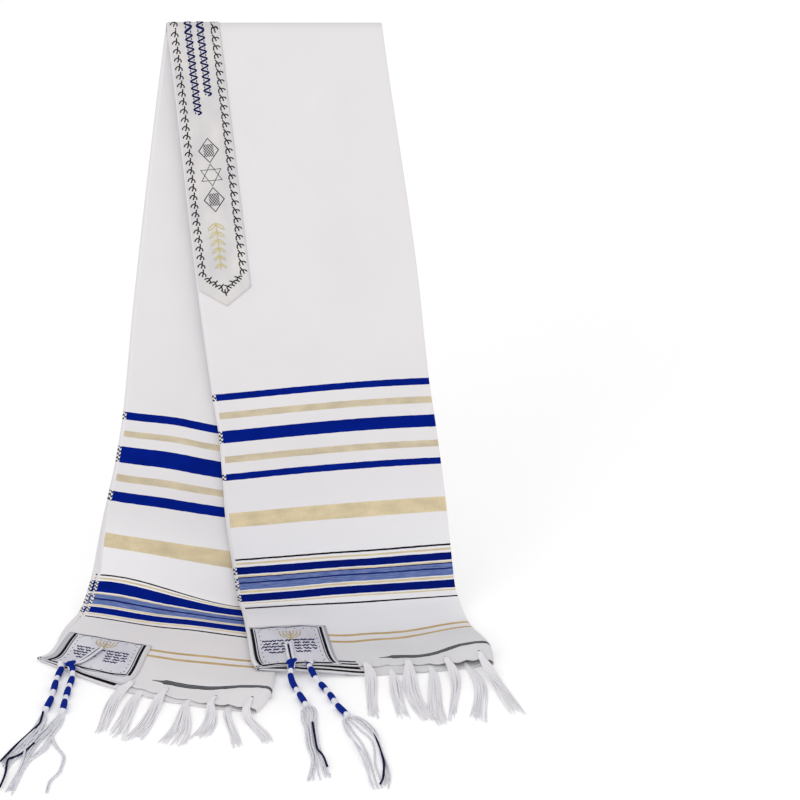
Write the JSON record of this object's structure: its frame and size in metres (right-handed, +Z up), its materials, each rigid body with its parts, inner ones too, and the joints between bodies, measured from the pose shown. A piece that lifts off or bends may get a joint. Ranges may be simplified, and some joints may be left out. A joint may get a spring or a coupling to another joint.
{
  "type": "tallit prayer shawl on a rod",
  "caption": "Fringed prayer shawl folded lengthwise and hung askew over a thin rod, its ends turned out below, with striped borders, a neckband, corner patches and wound tassels.",
  "frame": {"origin": "middle of the rod's length, give or take a few millimetres, on the rod's axis", "axes": "+X along the rod towards the cloth's lengthwise fold, -Y towards the side the cloth's ends are turned out to, +Z up"},
  "size_m": [0.5806, 0.4502, 0.739],
  "materials": {
    "rod_metal": "plain light grey paint, satin",
    "shawl_cloth": "smooth white twill weave with woven blue, gold and black stripes",
    "satin": "silver-white satin with woven dark ornament",
    "fringe_yarn": "soft white yarn",
    "tassel_yarn": "twisted white yarn wound with royal blue yarn"
  },
  "bodies": {
    "root": {"rod": "rod_metal", "front_fall": "shawl_cloth", "back_fall": "shawl_cloth", "neckband": "satin", "corner_patch_front_upper": "satin", "corner_patch_front_lower": "satin", "corner_patch_back_upper": "satin", "corner_patch_back_lower": "satin", "fringe_front_upper": "fringe_yarn", "fringe_front_lower": "fringe_yarn", "fringe_back_upper": "fringe_yarn", "fringe_back_lower": "fringe_yarn", "tassel_front_upper": "tassel_yarn", "tassel_front_lower": "tassel_yarn", "tassel_back_upper": "tassel_yarn", "tassel_back_lower": "tassel_yarn"}
  },
  "joints": []
}
